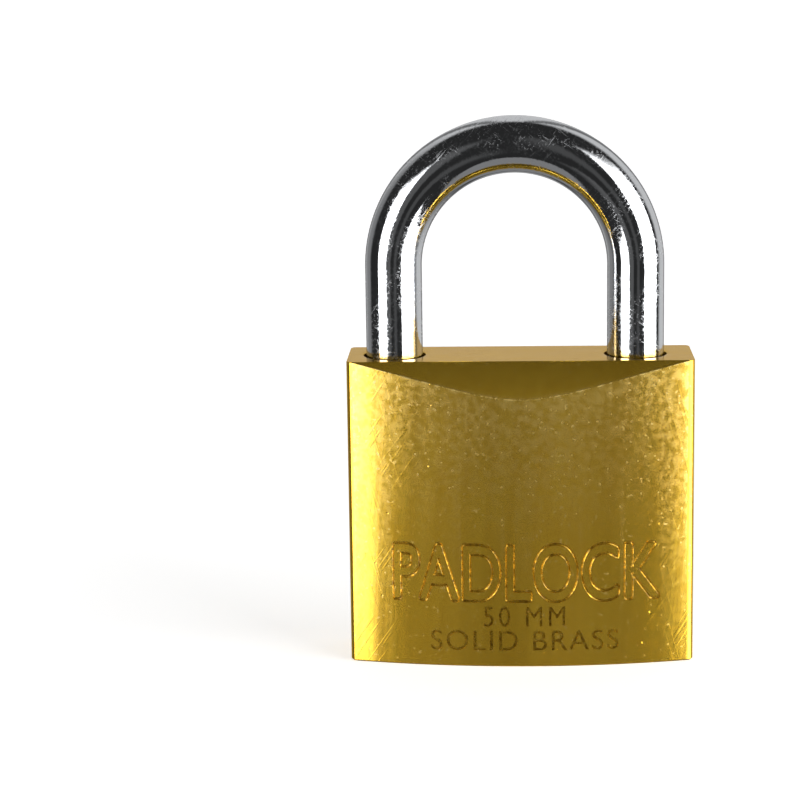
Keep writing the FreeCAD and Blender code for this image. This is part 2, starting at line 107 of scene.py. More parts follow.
def start_tree(name, sockets):
    """A Geometry Nodes tree with named inputs; returns the tree and its input sockets."""
    tree = bpy.data.node_groups.new(name, "GeometryNodeTree")
    for label, kind, default in sockets:
        socket = tree.interface.new_socket(label, in_out="INPUT", socket_type="NodeSocket" + kind)
        socket.default_value = default
    tree.interface.new_socket("Material", in_out="INPUT", socket_type="NodeSocketMaterial")
    tree.interface.new_socket("Geometry", in_out="OUTPUT", socket_type="NodeSocketGeometry")
    return tree, add_node(tree, "NodeGroupInput").node.outputs


def end_tree(tree, geometry, material):
    """Close a tree: make its instances real and give them their material."""
    real = add_node(tree, "GeometryNodeRealizeInstances", {0: geometry})
    painted = add_node(tree, "GeometryNodeSetMaterial", {0: real, "Material": material})
    add_node(tree, "NodeGroupOutput", {0: painted})
    return tree


def run_tree(tree, name, values):
    """Run a Geometry Nodes tree on an empty mesh and return what it makes as a plain object."""
    holder = new_object(name + "_source", bpy.data.meshes.new(name + "_source"))
    modifier = holder.modifiers.new("nodes", "NODES")
    modifier.node_group = tree
    for item in tree.interface.items_tree:
        if item.in_out == "INPUT" and item.name in values:
            modifier[item.identifier] = values[item.name]
    return baked(holder, name)


def new_object(name, mesh):
    """Link a mesh to the scene as an object at the origin."""
    made = bpy.data.objects.new(name, mesh)
    bpy.context.scene.collection.objects.link(made)
    return made


def mesh_from(name, vertices, faces):
    """A mesh from plain lists, with its normals turned outwards."""
    mesh = bpy.data.meshes.new(name)
    mesh.from_pydata(vertices, [], faces)
    shape = bmesh.new()
    shape.from_mesh(mesh)
    bmesh.ops.remove_doubles(shape, verts=shape.verts, dist=1e-7)
    bmesh.ops.recalc_face_normals(shape, faces=shape.faces)
    shape.to_mesh(mesh)
    shape.free()
    return mesh


def baked(source, name):
    """The evaluated object as a new plain object; the source is removed."""
    bpy.context.view_layer.update()
    graph = bpy.context.evaluated_depsgraph_get()
    mesh = bpy.data.meshes.new_from_object(source.evaluated_get(graph))
    mesh.name = name
    bpy.data.objects.remove(source)
    return new_object(name, mesh)


def cut(target, cutters, name):
    """Take the cutters out of the target and remove them."""
    group = bpy.data.collections.new(name + "_cutters")
    for cutter in cutters:
        group.objects.link(cutter)
    boolean = target.modifiers.new("cut", "BOOLEAN")
    boolean.operation = "DIFFERENCE"
    boolean.solver = "EXACT"
    boolean.operand_type = "COLLECTION"
    boolean.collection = group
    boolean.use_self = True
    done = baked(target, name)
    for cutter in cutters:
        bpy.data.objects.remove(cutter)
    bpy.data.collections.remove(group)
    mend(done.data)
    return done


def shade(piece, material, sharp_degrees=30.0):
    """Smooth faces, sharp creases past an angle, and normals that follow the larger faces."""
    mesh = piece.data
    shape = bmesh.new()
    shape.from_mesh(mesh)
    for face in shape.faces:
        face.smooth = True
        face.material_index = 0
    for edge in shape.edges:
        faces = len(edge.link_faces)
        edge.smooth = faces == 2 and edge.calc_face_angle(0.0) < math.radians(sharp_degrees)
    shape.to_mesh(mesh)
    shape.free()
    mesh.materials.clear()
    mesh.materials.append(material)
    weighted = piece.modifiers.new("even_normals", "WEIGHTED_NORMAL")
    weighted.keep_sharp = True
    weighted.weight = 100
    return baked(piece, piece.name)


# a loose bit with fewer faces than this is a sliver
SLIVER_FACES = 20


def mend(mesh):
    """Merge points under 0.1 micron apart, close pinholes and drop the slivers that a cut leaves."""
    shape = bmesh.new()
    shape.from_mesh(mesh)
    bmesh.ops.remove_doubles(shape, verts=shape.verts, dist=1e-7)
    open_edges = [edge for edge in shape.edges if len(edge.link_faces) == 1]
    bmesh.ops.holes_fill(shape, edges=open_edges, sides=8)
    seen = set()
    slivers = []
    for first in shape.faces:
        island = [] if first in seen else [first]
        seen.update(island)
        for face in island:
            beside = {other for edge in face.edges for other in edge.link_faces} - seen
            seen.update(beside)
            island.extend(beside)
        if len(island) < SLIVER_FACES:
            slivers.extend(island)
    bmesh.ops.delete(shape, geom=slivers, context="FACES")
    shape.to_mesh(mesh)
    shape.free()


def must_be_closed(piece):
    """Stop with an error if a piece is empty, has an open edge or is inside out."""
    shape = bmesh.new()
    shape.from_mesh(piece.data)
    loose = sum(1 for edge in shape.edges if len(edge.link_faces) != 2)
    volume = shape.calc_volume(signed=True)
    shape.free()
    if loose or volume <= 0:
        raise RuntimeError(f"{piece.name} has {loose} open edges and a volume of {volume:.3g} m3")


def lathe(name, profile, steps=96, place=None):
    """A closed solid turned about Z from (radius, height) points; both ends are on the axis."""
    vertices = []
    faces = []
    for radius, height in profile:
        for step in range(steps):
            angle = 2 * math.pi * step / steps
            vertices.append((radius * math.cos(angle), radius * math.sin(angle), height))
    for ring in range(len(profile) - 1):
        for step in range(steps):
            after = (step + 1) % steps
            low, high = ring * steps, (ring + 1) * steps
            faces.append((low + step, low + after, high + after, high + step))
    faces.append(tuple(range(steps)))
    faces.append(tuple(range((len(profile) - 1) * steps, len(profile) * steps)))
    made = mesh_from(name, vertices, faces)
    made.transform(place or Matrix.Identity(4))
    return new_object(name, made)


def along(axis, x, y, z):
    """A matrix that turns +Z to the axis and moves to x, y, z."""
    turn = Vector((0, 0, 1)).rotation_difference(Vector(axis)).to_matrix().to_4x4()
    return Matrix.Translation((x, y, z)) @ turn


# ---------------------------------------------------------------------- materials

def new_material(name, colour, metallic, roughness):
    """A material with a Principled shader; returns it with its tree and shader."""
    material = bpy.data.materials.new(name)
    material.use_nodes = True
    tree = material.node_tree
    shader = tree.nodes["Principled BSDF"]
    shader.inputs["Base Color"].default_value = colour
    shader.inputs["Metallic"].default_value = metallic
    shader.inputs["Roughness"].default_value = roughness
    return material, tree, shader


def grain_patterns(tree, table):
    """Noise patterns from 0 to 1 in object space, as sockets by name.

    Each row is a name, the grain's size in mm along X, Y and Z, its slant in degrees in the
    plane of the face, the noise's detail, and the part of the noise stretched over 0 to 1.
    """
    place = add_node(tree, "ShaderNodeTexCoord", out="Object")
    made = {}
    for name, size, slant, detail, low, high in table:
        spot = add_node(tree, "ShaderNodeMapping",
                        {"Vector": place, "Scale": [length * MM for length in size],
                         "Rotation": (0.0, math.radians(slant), 0.0)}, vector_type="TEXTURE")
        grain = add_node(tree, "ShaderNodeTexNoise", {"Vector": spot, "Scale": 1.0, "Detail": detail})
        made[name] = add_node(tree, "ShaderNodeMapRange",
                              {"Value": grain, "From Min": low, "From Max": high})
    return made


def satin_brass(settings):
    """Cast brass, linished on a belt and lacquered.

    The eye gets a soft, deep gold reflection with faint upright waves where the belt bit
    unevenly, slanting hairlines and a few pits. Rubbed edges are paler and rougher, and along
    the shoulder the paler colour is also a painted highlight. The stamped grooves are darker
    and rougher. The lacquer scatters light to an even gold in the shadows and adds a
    colourless sheen.
    """
    material, tree, shader = new_material("satin_brass_lacquered", settings.brass, 0.87,
                                          settings.brass_roughness)
    grains = grain_patterns(tree, (
        # soft blotches of the lacquer
        ("mottle", (0.8, 0.8, 1.0), 0.0, 1.0, 0.30, 0.70),
        # upright streaks and slow patches where the brass has dulled
        ("streaks", (1.3, 1.3, 26.0), 4.0, 2.0, 0.30, 0.70),
        ("patches", (9.0, 9.0, 12.0), 0.0, 3.0, 0.30, 0.70),
        ("worn_off", (0.9, 0.9, 0.9), 0.0, 3.0, 0.40, 0.60),
        # uneven patches for the darkening in the stamped grooves
        ("packed", (0.6, 0.6, 0.6), 0.0, 3.0, 0.35, 0.65),
        # waves of the belt, 5 mm wide, and its grain, drawn coarser than 240 grit so that it shows
        ("waves", (4.5, 4.5, 120.0), 2.0, 1.0, 0.0, 1.0),
        ("belt", (0.45, 7.0, 6.0), 5.0, 0.0, 0.0, 1.0),
        # hairlines 0.15 mm wide and some 8 mm long, each slant only in its own patches
        ("leaning", (0.40, 30.0, 10.0), 34.0, 0.0, 0.62, 0.70),
        ("leaning_patches", (10.0, 10.0, 14.0), 0.0, 2.0, 0.50, 0.58),
        ("steep", (0.40, 30.0, 12.0), -16.0, 0.0, 0.66, 0.73),
        # pale specks 0.2 mm across, drawn 0.3 mm so that they show
        ("specks", (0.50, 0.50, 0.50), 0.0, 0.0, 0.73, 0.80),
        ("pitted", (11.0, 11.0, 11.0), 0.0, 1.0, 0.50, 0.58),
    ))
    tone = add_node(tree, MATH, {0: grains["mottle"], 1: 0.25, 2: 0.0}, operation="MULTIPLY_ADD")
    tone = add_node(tree, MATH, {0: grains["streaks"], 1: 0.40, 2: tone}, operation="MULTIPLY_ADD")
    tone = add_node(tree, MATH, {0: grains["patches"], 1: 0.35, 2: tone}, operation="MULTIPLY_ADD")
    colour = add_node(tree, MIX, {0: tone, 6: settings.brass_dull, 7: settings.brass}, out=2,
                      data_type="RGBA")

    # painted highlight: the shoulder's edge is rubbed brass, and its paler colour also stands in for the
    # highlight along it; pale specks are mixed in
    edge_wear_and_highlight = add_node(tree, "ShaderNodeAttribute", out="Fac", attribute_name="edge_wear_and_highlight")
    kept = add_node(tree, MATH, {0: grains["worn_off"], 1: 0.75, 2: 0.25}, operation="MULTIPLY_ADD")
    rubbed = add_node(tree, MATH, {0: edge_wear_and_highlight, 1: kept}, operation="MULTIPLY")
    rubbed = add_node(tree, MATH, {0: grains["specks"], 1: 0.3, 2: rubbed}, operation="MULTIPLY_ADD")
    colour = add_node(tree, MIX, {0: rubbed, 6: colour, 7: settings.brass_rubbed_and_highlight}, out=2,
                      data_type="RGBA")
    # the stamped grooves are darker and rougher, the more so the deeper they run, in uneven patches
    groove = add_node(tree, "ShaderNodeAttribute", out="Fac", attribute_name="groove")
    patchiness = add_node(tree, MATH, {0: grains["packed"], 1: 0.70, 2: 0.25}, operation="MULTIPLY_ADD")
    darkening = add_node(tree, MATH, {0: groove, 1: patchiness}, operation="MULTIPLY")
    colour = add_node(tree, MIX, {0: darkening, 6: colour, 7: settings.groove_tone}, out=2, data_type="RGBA")
    tree.links.new(colour, shader.inputs["Base Color"])

    rough = add_node(tree, MATH, {0: grains["mottle"], 1: -0.03, 2: settings.brass_roughness + 0.015},
                     operation="MULTIPLY_ADD")
    rough = add_node(tree, MATH, {0: rubbed, 1: 0.30, 2: rough}, operation="MULTIPLY_ADD")
    rough = add_node(tree, MATH, {0: darkening, 1: 0.20, 2: rough}, operation="MULTIPLY_ADD")
    tree.links.new(rough, shader.inputs["Roughness"])

    hairlines = add_node(tree, MATH, {0: grains["leaning"], 1: grains["leaning_patches"]},
                         operation="MULTIPLY")
    hairlines = add_node(tree, MATH, {0: grains["steep"], 1: 0.5, 2: hairlines},
                         operation="MULTIPLY_ADD")
    place = add_node(tree, "ShaderNodeTexCoord", out="Object")
    cells = add_node(tree, "ShaderNodeTexVoronoi", {"Vector": place, "Scale": 1.0 / (2.6 * MM)})
    pits = add_node(tree, "ShaderNodeMapRange", {"Value": cells, "From Min": 0.07, "From Max": 0.03,
                                                 "To Max": -1.0})
    pits = add_node(tree, MATH, {0: pits, 1: grains["pitted"]}, operation="MULTIPLY")
    # each layer of relief lies on the one before: height, depth in mm and strength
    relief = None
    for height, depth, strength in ((grains["waves"], 0.12, 0.5), (grains["belt"], 0.012, 0.20),
                                    (hairlines, 0.012, 0.18), (pits, 0.05, 0.6)):
        layer = {"Height": height, "Distance": depth * MM, "Strength": strength}
        if relief is not None:
            layer["Normal"] = relief
        relief = add_node(tree, "ShaderNodeBump", layer)
    tree.links.new(relief, shader.inputs["Normal"])
    # brass stays golden where it is seen at a glancing angle
    shader.inputs["Specular Tint"].default_value = settings.brass_rubbed_and_highlight
    shader.inputs["Coat Weight"].default_value = settings.lacquer
    shader.inputs["Coat Roughness"].default_value = 0.10
    shader.inputs["Coat IOR"].default_value = 1.5
    return material


def chrome_plate(settings):
    """Bright chromium on a drawn steel bar.

    It mirrors sharp bands of the room. The plating follows the bar's orange peel and has
    been knocked about, so the dark bands show a pale speckle of rubbed spots and short
    scratches, and the bands' edges are broken.
    """
    material, tree, shader = new_material("chrome_plate", settings.chrome, 1.0,
                                          settings.chrome_roughness)
    grains = grain_patterns(tree, (
        # rubbed spots 0.3 mm across, in clouds 5 mm across
        ("speckle", (0.32, 0.32, 0.32), 0.0, 3.0, 0.47, 0.69),
        ("clouds", (5.0, 5.0, 5.0), 0.0, 2.0, 0.36, 0.60),
        # scratches 0.15 mm wide and 2 mm long, both ways
        ("scratches", (0.30, 2.0, 3.0), 40.0, 1.0, 0.61, 0.72),
        ("crossing", (0.30, 2.0, 3.0), -55.0, 1.0, 0.61, 0.72),
        ("peel", (1.3, 1.3, 1.3), 0.0, 2.0, 0.0, 1.0),
    ))
    marks = add_node(tree, MATH, {0: grains["scratches"], 1: grains["crossing"]}, operation="MAXIMUM")
    marks = add_node(tree, MATH, {0: marks, 1: grains["speckle"]}, operation="MAXIMUM")
    rubbed = add_node(tree, MATH, {0: marks, 1: grains["clouds"]}, operation="MULTIPLY")
    rough = add_node(tree, MATH, {0: rubbed, 1: 0.27, 2: settings.chrome_roughness},
                     operation="MULTIPLY_ADD")
    tree.links.new(rough, shader.inputs["Roughness"])
    peeled = add_node(tree, "ShaderNodeBump", {"Height": grains["peel"], "Distance": 0.03 * MM,
                                               "Strength": 0.35})
    marked = add_node(tree, "ShaderNodeBump", {"Height": rubbed, "Distance": 0.01 * MM,
                                               "Strength": 0.35, "Normal": peeled})
    tree.links.new(marked, shader.inputs["Normal"])
    return material


def turned_metal(name, colour, dull, roughness, pitch, centre):
    """Metal faced on a lathe: rings about the piece's own axis glint as one turns it."""
    material, tree, shader = new_material(name, colour, 1.0, roughness)
    place = add_node(tree, "ShaderNodeTexCoord", out="Object")
    centred = add_node(tree, "ShaderNodeMapping", {"Vector": place, "Location": [-c for c in centre]})
    # a wave of scale 1 repeats every 0.314 m, so this one repeats every pitch
    rings = add_node(tree, "ShaderNodeTexWave",
                     {"Vector": centred, "Scale": 0.314 / pitch, "Distortion": 0.6, "Detail": 2.0},
                     out="Fac", wave_type="RINGS", rings_direction="SPHERICAL")
    clouds = add_node(tree, "ShaderNodeTexNoise",
                      {"Vector": place, "Scale": 1.0 / (2.5 * MM), "Detail": 4.0})
    tinted = add_node(tree, MIX, {0: clouds, 6: dull, 7: colour}, out=2, data_type="RGBA")
    tree.links.new(tinted, shader.inputs["Base Color"])
    turned = add_node(tree, "ShaderNodeBump", {"Height": rings, "Distance": 0.02 * MM,
                                               "Strength": 0.25})
    tree.links.new(turned, shader.inputs["Normal"])
    return material


def drawn_wire(settings):
    """Hard-drawn spring steel: dark grey with fine draw lines and a trace of oil."""
    material, tree, shader = new_material("drawn_spring_wire", settings.wire_colour, 1.0, 0.32)
    grains = grain_patterns(tree, (("draw_lines", (0.33, 0.33, 0.33), 0.0, 3.0, 0.0, 1.0),))
    drawn = add_node(tree, "ShaderNodeBump", {"Height": grains["draw_lines"],
                                              "Distance": 0.02 * MM, "Strength": 0.15})
    tree.links.new(drawn, shader.inputs["Normal"])
    return material


# ------------------------------------------------------------------------ settings

def colour_property(name, description, default):
    """A colour that a user can change, given as sRGB hex and kept linear."""
    return FloatVectorProperty(name=name, description=description, subtype="COLOR", size=4,
                               min=0.0, max=1.0, default=linear(default))


def length_property(name, description, default_mm):
    """A length that a user can change, in metres."""
    return FloatProperty(name=name, description=description, subtype="DISTANCE", unit="LENGTH",
                         precision=5, default=default_mm * MM)


class PadlockBodySettings(bpy.types.PropertyGroup):
    """Sizes and finish of the brass body."""

    side_thickness: length_property("Side thickness", "Thickness of the body at its sides", 12.4)
    corner_radius: length_property("Corner radius", "Radius of the four upright corners", 1.0)
    shoulder_inset: length_property("Shoulder inset", "From the middle to where the shoulder starts", 6.3)
    shoulder_drop: length_property("Shoulder drop", "How far down the shoulder reaches", 5.1)
    shoulder_radius: length_property("Shoulder radius", "Radius of the shoulder's own bulge", 9.5)
    base_chamfer: length_property("Base chamfer", "Bevel round the base", 0.25)
    worn_edge: length_property("Worn edge", "Half the width of a rubbed edge", 0.09)
    leg_bore: length_property("Leg bore", "Diameter of the bores for the shackle", 9.1)
    mouth_ring: length_property("Mouth ring", "Diameter of the dished ring round each bore", 10.3)
    mouth_depth: length_property("Mouth depth", "Depth of the dished ring", 0.09)
    brass: colour_property("Brass", "Colour of the clean brass", "#EEC340")
    brass_dull: colour_property("Dull brass", "Colour where the brass has dulled", "#DDAE32")
    # paler brass for rubbed edges and specks and for the painted highlight along the shoulder's edge; it
    # also tints the glancing reflection
    brass_rubbed_and_highlight: colour_property("Rubbed brass", "Colour of edges rubbed bright", "#F5DC96")
    # a darker colour laid into the stamped grooves
    groove_tone: colour_property("Grime", "Colour of the dirt in the stamped grooves", "#6E5012")
    brass_roughness: FloatProperty(name="Roughness", description="Roughness of the satin finish",
                                   default=0.155, min=0.0, max=1.0)
    lacquer: FloatProperty(name="Lacquer", description="Weight of the clear coat", default=0.3,
                           min=0.0, max=1.0)


class PadlockStampSettings(bpy.types.PropertyGroup):
    """The words pressed into the front face."""

    title: StringProperty(name="Title", description="Large outlined word", default="PADLOCK")
    size_mark: StringProperty(name="Size", description="Body width in millimetres", default="50 MM")
    note: StringProperty(name="Note", description="Small capitals under the size", default="SOLID BRASS")
    title_size: length_property("Title size", "Letter size of the title", 11.6)
    title_bold: length_property("Title weight", "How far the title's letters are thickened", 0.25)
    small_size: length_property("Small size", "Letter size of the two lower lines", 4.3)
    groove: length_property("Groove", "Radius of the pressed outline", 0.21)
    small_depth: length_property("Small depth", "How deep the small letters are punched", 0.16)


class PadlockShackleSettings(bpy.types.PropertyGroup):
    """Sizes and finish of the shackle."""

    bar_diameter: length_property("Bar diameter", "Diameter of the shackle's bar", 8.25)
    toe_end: length_property("Toe end", "Height of the toe leg's end above the base", 31.9)
    neck_diameter: length_property("Neck diameter", "Diameter of the heel leg's neck", 4.8)
    neck_bottom: length_property("Neck bottom", "Height of the neck's lower end", 14.0)
    neck_top: length_property("Neck top", "Height of the neck's upper end", 30.8)
    end_chamfer: length_property("End chamfer", "Bevel at the ends of the legs", 0.7)
    notch_depth: length_property("Notch depth", "Depth of the latch notches", 2.0)
    notch_floor: length_property("Notch floor", "Height of a notch at its floor", 3.8)
    chrome: colour_property("Chrome", "Colour of the chromium", "#E6E8EB")
    chrome_roughness: FloatProperty(name="Roughness", description="Roughness of the plating",
                                    default=0.05, min=0.0, max=1.0)


class PadlockInnerSettings(bpy.types.PropertyGroup):
    """Finishes of the pieces inside, and the wire of the springs."""

    wire_colour: colour_property("Wire", "Colour of the spring wire", "#8A8B8E")
    steel: colour_property("Steel", "Colour of the ground steel", "#B9BBBE")
    steel_dull: colour_property("Dull steel", "Colour of the steel between the glints", "#8E9093")
    turned_brass: colour_property("Turned brass", "Colour of the cylinder and plugs", "#DDB950")
    turned_dull: colour_property("Dull turned brass", "Colour in the turning marks", "#B98E2E")
    wire_sides: IntProperty(name="Wire sides", description="Facets round the wire", default=10, min=6)


class PadlockStageSettings(bpy.types.PropertyGroup):
    """Floor, light and camera."""

    floor: colour_property("Floor", "Colour of the floor", "#F6F6F6")
    distance: length_property("Camera distance", "How far in front of the lock the camera stands", 353.9)
    height: length_property("Camera height", "How high the camera stands", 107.2)
    side: length_property("Camera side", "How far to the right the camera stands", -2.2)
    lens: FloatProperty(name="Lens", description="Focal length in millimetres", default=110.9, min=1.0)
    pan: FloatProperty(name="Pan", description="Turn of the camera to the right", subtype="ANGLE",
                       default=math.radians(-2.487))
    tilt: FloatProperty(name="Tilt", description="Turn of the camera upwards", subtype="ANGLE",
                        default=math.radians(-11.086))
    roll: FloatProperty(name="Roll", description="Lean of the camera", subtype="ANGLE",
                        default=math.radians(-0.812))


# ---------------------------------------------------------------------- brass body

class BodyShape:
    """Where the body's surface is, worked out from its sizes."""

    def __init__(self, settings):
        self.half_width = BODY_HIGH.x
        self.height = BODY_HIGH.z
        self.half_thick = BODY_HIGH.y
        self.settings = settings
        crown = self.half_thick - settings.side_thickness / 2
        self.crown_radius = (self.half_width ** 2 + crown ** 2) / (2 * crown)
        self.crown_centre = self.half_thick - self.crown_radius
        self.corner_x = self.half_width - settings.corner_radius
        reach = self.crown_radius - settings.corner_radius
        self.corner_y = self.crown_centre + math.sqrt(reach ** 2 - self.corner_x ** 2)
        self.tangent_x = self.corner_x * self.crown_radius / reach
        start = Vector((settings.shoulder_inset, self.height))
        end = Vector((self.half_thick, self.height - settings.shoulder_drop))
        chord = end - start
        depth = math.sqrt(settings.shoulder_radius ** 2 - (chord.length / 2) ** 2)
        inward = Vector((chord.y, -chord.x)).normalized()
        self.shoulder_centre = (start + end) / 2 + inward * depth

    def half_thickness(self, x):
        """Half the body's thickness at x, on the crowned face."""
        return self.crown_centre + math.sqrt(self.crown_radius ** 2 - x ** 2)

    def plan(self, columns=160, corner_steps=8):
        """The front edge from left to right, as (x, half thickness, normal, on a corner)."""
        points = []
        for column in range(columns + 1):
            x = self.tangent_x * (2 * column / columns - 1)
            y = self.half_thickness(x)
            points.append((x, y, Vector((x, y - self.crown_centre)).normalized(), False))
        turn = math.atan2(points[-1][2].y, points[-1][2].x)
        radius = self.settings.corner_radius
        corner = []
        for step in range(1, corner_steps + 1):
            angle = turn * (1 - step / corner_steps)
            normal = Vector((math.cos(angle), math.sin(angle)))
            corner.append((self.corner_x + radius * normal.x, self.corner_y + radius * normal.y,
                           normal, True))
        left = [(-x, y, Vector((-n.x, n.y)), c) for x, y, n, c in reversed(corner)]
        return left + points + corner

    def column(self, x, y, normal, is_corner, shoulder_steps=10):
        """One upright line of the surface, as (x, half thickness, height) from base to top."""
        chamfer = self.settings.base_chamfer
        worn = self.settings.worn_edge
        line = [(x - normal.x * chamfer, y - normal.y * chamfer, 0.0), (x, y, chamfer)]
        if is_corner:
            count = shoulder_steps + 5
            for step in range(count):
                angle = math.pi / 2 * step / (count - 1)
                inset = worn * (1 - math.cos(angle))
                rise = self.height - worn + worn * math.sin(angle)
                line.append((x - normal.x * inset, y - normal.y * inset, rise))
            return line
        centre = self.shoulder_centre
        radius = self.settings.shoulder_radius
        low = math.asin(min(1.0, max(-1.0, math.sqrt(max(0.0, 1 - ((y - centre.x) / radius) ** 2)))))
        high = math.acos((self.settings.shoulder_inset - centre.x) / radius)
        kink_height = centre.y + radius * math.sin(low)
        room = (high - low) * radius
        trim = min(worn, room * 0.2)
        line.append((x, y, kink_height - trim))
        shoulder = []
        for step in range(shoulder_steps + 1):
            share = trim / room + (1 - 2 * trim / room) * step / shoulder_steps
            angle = low + (high - low) * share
            shoulder.append((x, centre.x + radius * math.cos(angle), centre.y + radius * math.sin(angle)))
        rub = trim * 0.2
        first = (x, y - rub * 0.25, kink_height - rub * 0.3)
        last = (x, self.settings.shoulder_inset - rub * 0.3, self.height - rub * 0.3)
        line.append(first)
        line.extend(shoulder)
        line.append(last)
        line.append((x, self.settings.shoulder_inset - trim, self.height))
        return line


def brass_block(shape):
    """The body's outside as one closed mesh: upright columns all round, joined in rings."""
    front = [shape.column(*point) for point in shape.plan()]
    ring = [[(x, -y, z) for x, y, z in line] for line in front]
    ring += [[(x, y, z) for x, y, z in line] for line in reversed(front)]
    columns = len(ring)
    levels = len(ring[0])
    vertices = [point for line in ring for point in line]
    faces = []
    for column in range(columns):
        beside = (column + 1) % columns
        for level in range(levels - 1):
            faces.append((column * levels + level, beside * levels + level,
                          beside * levels + level + 1, column * levels + level + 1))
    half = columns // 2
    for level in (0, levels - 1):
        for column in range(half - 1):
            across = columns - 1 - column
            faces.append((column * levels + level, (column + 1) * levels + level,
                          (across - 1) * levels + level, across * levels + level))
    return new_object("brass_block", mesh_from("brass_block", vertices, faces))


# inside the body: the toe bore's floor, how far the cylinder stands above its bore's roof, and
# how deep the stop pin's hole and the latches' bore run
TOE_FLOOR = 31.4 * MM
CAM_HEIGHT = 1.3 * MM
STOP_HOLE_DEPTH = 5 * MM
LATCH_BORE_PAST_HEEL = 2 * MM
AXIS_HOLE = 0.001 * MM


def bore_cutters(settings):
    """The bores: two for the legs, the cylinder's, the latches', and the pin holes."""
    top = BODY_HIGH.z
    heel_x = SHACKLE_LOW.x + bar_radius()
    toe_x = SHACKLE_HIGH.x - bar_radius()
    bore = settings.leg_bore / 2
    ring = settings.mouth_ring / 2
    over = 1.0 * MM
    cutters = []
    heel_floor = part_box("shackle_spring")[0].z
    for name, x, floor in (("heel_bore", heel_x, heel_floor), ("toe_bore", toe_x, TOE_FLOOR)):
        profile = [(AXIS_HOLE, top + over), (ring, top + over), (ring, top),
                   (bore, top - settings.mouth_depth), (bore, floor), (AXIS_HOLE, floor)]
        cutters.append(lathe(name, profile, 128, along((0, 0, 1), x, 0, 0)))

    def straight(name, radius, axis, start, depth):
        profile = [(AXIS_HOLE, -over), (radius, -over), (radius, depth), (AXIS_HOLE, depth)]
        cutters.append(lathe(name, profile, 64, along(axis, *start)))

    play = 0.1 * MM
    cylinder = (CYLINDER_HIGH.x - CYLINDER_LOW.x) / 2 + play
    straight("cylinder_bore", cylinder, (0, 0, 1), (CORE_X, 0, 0), CYLINDER_HIGH.z - CAM_HEIGHT)
    press = 0.02 * MM
    right = BODY_HIGH.x
    for stack in range(1, STACKS + 1):
        low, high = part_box(f"chamber_plug_{stack}")
        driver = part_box(f"driver_pin_{stack}")[0]
        radius = (high.z - low.z) / 2 + press
        straight(f"chamber_{stack}", radius, (-1, 0, 0), (right, 0, (low.z + high.z) / 2),
                 right - driver.x)
    low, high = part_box("latch_bore_plug")
    straight("latch_bore", (high.z - low.z) / 2 + press, (-1, 0, 0), (right, 0, LATCH_Z),
             right - heel_x - LATCH_BORE_PAST_HEEL)
    low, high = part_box("shackle_stop_pin")
    straight("stop_pin_hole", (high.z - low.z) / 2 + press, (1, 0, 0),
             (BODY_LOW.x, 0, (low.z + high.z) / 2), STOP_HOLE_DEPTH)
    low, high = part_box("cylinder_retaining_pin")
    straight("retainer_hole", (high.z - low.z) / 2 + press, (0, -1, 0),
             ((low.x + high.x) / 2, BODY_HIGH.y, (low.z + high.z) / 2), BODY_HIGH.y - low.y + play)
    return cutters


def bar_radius():
    """Radius of the shackle's bar, from the frame."""
    return (SHACKLE_HIGH.y - SHACKLE_LOW.y) / 2


# the stamped lines sit this far right of the body's middle
STAMP_MIDDLE = 0.45 * MM


